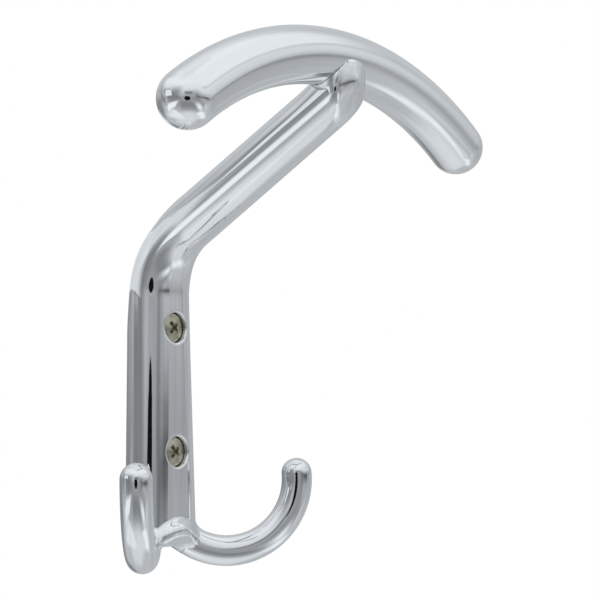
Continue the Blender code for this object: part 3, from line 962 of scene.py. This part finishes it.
class COATHOOK_OT_bar(bpy.types.Operator):
    """Makes the bowed hanger bar with its domed ends"""

    bl_idname = "coat_hook.bar"
    bl_label = "Hanger bar"

    def execute(self, context):
        scene = context.scene
        bar = scene.hook_bar
        middle = places(scene)["bar_middle"]
        half = math.asin(bar.span / 2 / bar.bow_radius)
        centre = middle - Vector((0.0, 0.0, bar.bow_radius))
        up, right = Vector((0.0, 0.0, 1.0)), Vector((1.0, 0.0, 0.0))
        path = arc(centre, bar.bow_radius, up, right, -half, half, bar.diameter / 2, BAR_STEPS)
        point, ahead, aside, radius = path[0]
        near = dome(point, -ahead, aside, radius, BAR_DOME)
        near = [(point, -ahead, aside, r) for point, ahead, aside, r in reversed(near)]
        far = dome(*path[-1], BAR_DOME)
        points, faces, grain = tube(near + path + far, BAR_SIDES)
        plating = chrome("bar_plating", scene.hook_finishes, smear_size=48.0, line_tone=0.95)
        piece = place("hanger_bar_bow", points, faces, plating, grain=grain)
        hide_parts("hanger_bar")
        return {"FINISHED"}


class COATHOOK_OT_hooks(bpy.types.Operator):
    """Makes the two J-shaped hooks"""

    bl_idname = "coat_hook.hooks"
    bl_label = "Hooks"

    def execute(self, context):
        scene = context.scene
        hook = scene.hook_rods
        where = places(scene)
        finish = chrome("hook_plating", scene.hook_finishes, smear_size=70.0, line_tone=0.92)
        up = Vector((0.0, 0.0, 1.0))
        turns = where["hook_start"], hook.tip_turn
        for name, side in (("left_hook", -1.0), ("right_hook", 1.0)):
            out = Vector((side * math.sin(hook.splay), -math.cos(hook.splay), 0.0))
            centre = Vector((0.0, hook.planes_meet, where["hook_centre"])) + out * hook.centre_out
            path = arc(centre, hook.bend_radius, out, up, *turns, hook.diameter / 2, HOOK_STEPS)
            begin, ahead, aside, radius = path[0]
            shoulder = begin - ahead * hook.let_in
            root = [
                (shoulder - ahead * hook.tenon_length, ahead, aside, hook.tenon / 2),
                (shoulder - ahead * TENON_STEP, ahead, aside, hook.tenon / 2),
                (shoulder, ahead, aside, radius),
            ]
            points, faces, grain = tube(root + path + dome(*path[-1], HOOK_DOME), HOOK_SIDES)
            piece = place(name + "_rod", points, faces, finish, grain=grain)
            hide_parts(name)
        return {"FINISHED"}


class COATHOOK_OT_screws(bpy.types.Operator):
    """Makes the two countersunk wall screws"""

    bl_idname = "coat_hook.screws"
    bl_label = "Wall screws"

    def execute(self, context):
        scene = context.scene
        screw, colours = scene.hook_screws, scene.hook_finishes
        head = screw.head / 2
        low = (-head, -head, -screw.length)
        high = (head, head, screw.crown)
        points, quads, normals = skin(lambda at: screw_distance(scene, at), low, high, SCREW_CELL)
        finish, tree, shader = new_finish("screw_zinc", metallic=1.0)
        mask = handled(tree, shader, size=400.0, clean=0.14, smeared=0.34)
        tone(tree, shader, mask, colours.zinc, colours.zinc_pale)
        for name, z in (("upper_screw", screw.spacing / 2), ("lower_screw", -screw.spacing / 2)):
            out = scene.hook_stem.depth - screw.recess
            seat = Matrix.Translation((0.0, -out, z)) @ Matrix.Rotation(math.radians(90.0), 4, "X")
            spin = np.array(seat.to_3x3())
            moved = points @ spin.T + np.array(seat.translation)
            piece = place(name + "_cross", moved, quads, finish, normals @ spin.T)
            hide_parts(name)
        return {"FINISHED"}


class COATHOOK_OT_stud(bpy.types.Operator):
    """Finishes the hidden stud between the arm and the bar"""

    bl_idname = "coat_hook.stud"
    bl_label = "Hidden stud"

    def execute(self, context):
        finish, tree, shader = new_finish("stud_steel_bright", metallic=1.0)
        steel = context.scene.hook_finishes.steel
        mask = handled(tree, shader, size=300.0, clean=0.35, smeared=0.5)
        tone(tree, shader, mask, steel, [STUD_TONE * c for c in steel])
        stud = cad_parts["bar_stud"]
        stud.data.materials.clear()
        stud.data.materials.append(finish)
        return {"FINISHED"}


class COATHOOK_OT_stage(bpy.types.Operator):
    """Makes the floor, the studio that the plating mirrors, the soft light and the camera"""

    bl_idname = "coat_hook.stage"
    bl_label = "Stage"

    def execute(self, context):
        scene = context.scene
        stage = scene.hook_stage
        self.make_floor(scene, stage)
        self.make_tent(scene, stage)
        self.make_bounce_card(scene, stage)
        self.make_air(scene, stage)
        self.make_camera(scene, stage)
        scene.view_settings.view_transform = "Standard"
        return {"FINISHED"}

    def make_floor(self, scene, stage):
        """A pale floor that fades out to its rim."""
        mesh = bpy.data.meshes.new("floor")
        turns = [2 * math.pi * k / FLOOR_SIDES for k in range(FLOOR_SIDES)]
        rim = [(FLOOR_RADIUS * math.cos(t), FLOOR_RADIUS * math.sin(t), 0.0) for t in turns]
        mesh.from_pydata(rim, [], [tuple(range(FLOOR_SIDES))])
        floor = bpy.data.objects.new("floor", mesh)
        floor.location = (0.0, 0.0, -stage.floor_drop)
        scene.collection.objects.link(floor)
        finish, tree, shader = new_finish("floor_paint", metallic=0.0)
        paint = scene.hook_finishes.floor
        patches = cloud(tree, spot_on(tree), size=3.0, detail=2.0)
        tone(tree, shader, patches, paint, [FLOOR_TONE * c for c in paint])
        tree.links.new(grouped(tree, soft_rim()).outputs["Mask"], shader.inputs["Alpha"])
        shader.inputs["Roughness"].default_value = FLOOR_ROUGHNESS
        mesh.materials.append(finish)
        floor.visible_glossy = False

    def make_tent(self, scene, stage):
        """The studio round the hook, which only the plating sees."""
        finish, tree, shader = glow("studio_cards")
        angles = grouped(tree, studio_angles()).outputs
        levels = linked(tree, "ShaderNodeValToRGB", fac=angles["Share"])
        stops = levels.color_ramp.elements
        while len(stops) < len(STUDIO_LEVELS):
            stops.new(0.5)
        white = scene.hook_finishes.studio
        for stop, (rise, shade) in zip(stops, STUDIO_LEVELS):
            stop.position = (rise + 90.0) / 180.0
            stop.color = opaque(white, shade)
        seen = levels.outputs["Color"]
        for name, *spread, shade in STUDIO_CARDS:
            card = grouped(tree, soft_card(), Turn=angles["Turn"], Rise=angles["Rise"])
            card.label = name
            for label, value in zip(CARD_LABELS, spread):
                card.inputs[label].default_value = value
            seen = blended(tree, card.outputs["Mask"], seen, opaque(white, shade))
        tree.links.new(seen, shader.inputs["Emission Color"])
        mesh = ball("studio_tent", rings=24, half_sizes=[stage.tent_radius] * 3)
        tent = only_mirrored(scene, mesh, finish)

    def make_bounce_card(self, scene, stage):
        """A pale card that glows, bent round the back of the bend: light that only the plating sees."""
        points = []
        for k in range(CARD_STEPS + 1):
            turn = math.radians(mix(*CARD_TURNS, k / CARD_STEPS))
            x = stage.card_radius * math.sin(turn)
            y = -stage.card_radius * math.cos(turn) - scene.hook_stem.depth / 2
            behind = min(1.0, k / CARD_STEPS_BESIDE)
            points.append((x, y, mix(stage.card_low, stage.card_low_behind, behind)))
            points.append((x, y, stage.card_high))
        faces = [(2 * k, 2 * k + 2, 2 * k + 3, 2 * k + 1) for k in range(CARD_STEPS)]
        mesh = bpy.data.meshes.new("bounce_card")
        mesh.from_pydata(points, [], faces)
        finish, tree, shader = glow("bounce_card_glow")
        # The card's pale colour is glow, light that only the plating mirrors.
        shader.inputs["Emission Color"].default_value = opaque(scene.hook_finishes.studio, CARD_GLOW)
        parts = linked(tree, "ShaderNodeSeparateXYZ", vector=spot_on(tree))
        tree.links.new(fade(tree, parts.outputs["Y"], *CARD_FADE), shader.inputs["Alpha"])
        card = only_mirrored(scene, mesh, finish)

    def make_air(self, scene, stage):
        """Plain white light all round, which is also the background."""
        world = bpy.data.worlds.new("studio_air")
        scene.world = world
        world.use_nodes = True
        shown = world.node_tree.nodes["Background"]
        shown.inputs["Color"].default_value = (1.0, 1.0, 1.0, 1.0)
        shown.inputs["Strength"].default_value = stage.light

    def make_camera(self, scene, stage):
        """The camera, from its turn, rise, roll and distance."""
        turn, rise, roll = stage.turn, stage.rise, stage.roll
        back = Vector((math.sin(turn) * math.cos(rise), -math.cos(turn) * math.cos(rise), math.sin(rise)))
        right = Vector((math.cos(turn), math.sin(turn), 0.0))
        up = back.cross(right)
        across = math.cos(roll) * right + math.sin(roll) * up
        upward = math.cos(roll) * up - math.sin(roll) * right
        eye = CAMERA_AIM + right * stage.shift_right + up * stage.shift_up + back * stage.distance
        camera = bpy.data.objects.new("camera", bpy.data.cameras.new("camera"))
        camera.data.sensor_width = SENSOR_WIDTH
        camera.data.lens = stage.lens
        camera.matrix_world = Matrix.Translation(eye) @ Matrix((across, upward, back)).transposed().to_4x4()
        scene.collection.objects.link(camera)
        scene.camera = camera
        self.make_camera_body(scene, camera.matrix_world)

    def make_camera_body(self, scene, stand):
        """The dark camera that the plating mirrors, behind the lens."""
        finish, tree, shader = new_finish("camera_cloth", metallic=0.0)
        shader.inputs["Specular IOR Level"].default_value = 0.0
        mask = handled(tree, shader, size=30.0, clean=0.7, smeared=0.9)
        tone(tree, shader, mask, CLOTH_DARK, CLOTH_WORN)
        body = only_mirrored(scene, ball("camera_body", rings=16, half_sizes=CAMERA_BODY), finish)
        body.matrix_world = stand @ Matrix.Translation((CAMERA_BODY_ASIDE, 0.0, 0.0))


class COATHOOK_PT_panel(bpy.types.Panel):
    """Sizes and finishes of the coat hook, and the steps that make it"""

    bl_idname = "COATHOOK_PT_panel"
    bl_label = "Coat hook"
    bl_space_type = "VIEW_3D"
    bl_region_type = "UI"
    bl_category = "Coat hook"

    def draw(self, context):
        for step in STEPS:
            self.layout.operator(step.bl_idname)
        for name, group in GROUPS.items():
            box = self.layout.box()
            settings = getattr(context.scene, name)
            for key in group.__annotations__:
                box.prop(settings, key)


STEPS = (
    COATHOOK_OT_stem,
    COATHOOK_OT_bar,
    COATHOOK_OT_hooks,
    COATHOOK_OT_screws,
    COATHOOK_OT_stud,
    COATHOOK_OT_stage,
)
GROUPS = {
    "hook_stem": StemSizes,
    "hook_bar": BarSizes,
    "hook_rods": HookSizes,
    "hook_screws": ScrewSizes,
    "hook_finishes": Finishes,
    "hook_stage": StageSettings,
}


def register():
    """Adds the settings, the steps and the panel."""
    for kind in (*GROUPS.values(), *STEPS, COATHOOK_PT_panel):
        bpy.utils.register_class(kind)
    for name, group in GROUPS.items():
        setattr(bpy.types.Scene, name, bpy.props.PointerProperty(type=group))


def unregister():
    """Takes them out again."""
    for name in GROUPS:
        delattr(bpy.types.Scene, name)
    for kind in reversed((*GROUPS.values(), *STEPS, COATHOOK_PT_panel)):
        bpy.utils.unregister_class(kind)


def main():
    """Makes the coat hook and its stage."""
    register()
    for step in STEPS:
        getattr(bpy.ops.coat_hook, step.bl_idname.split(".")[1])()


if __name__ == "__main__":
    main()
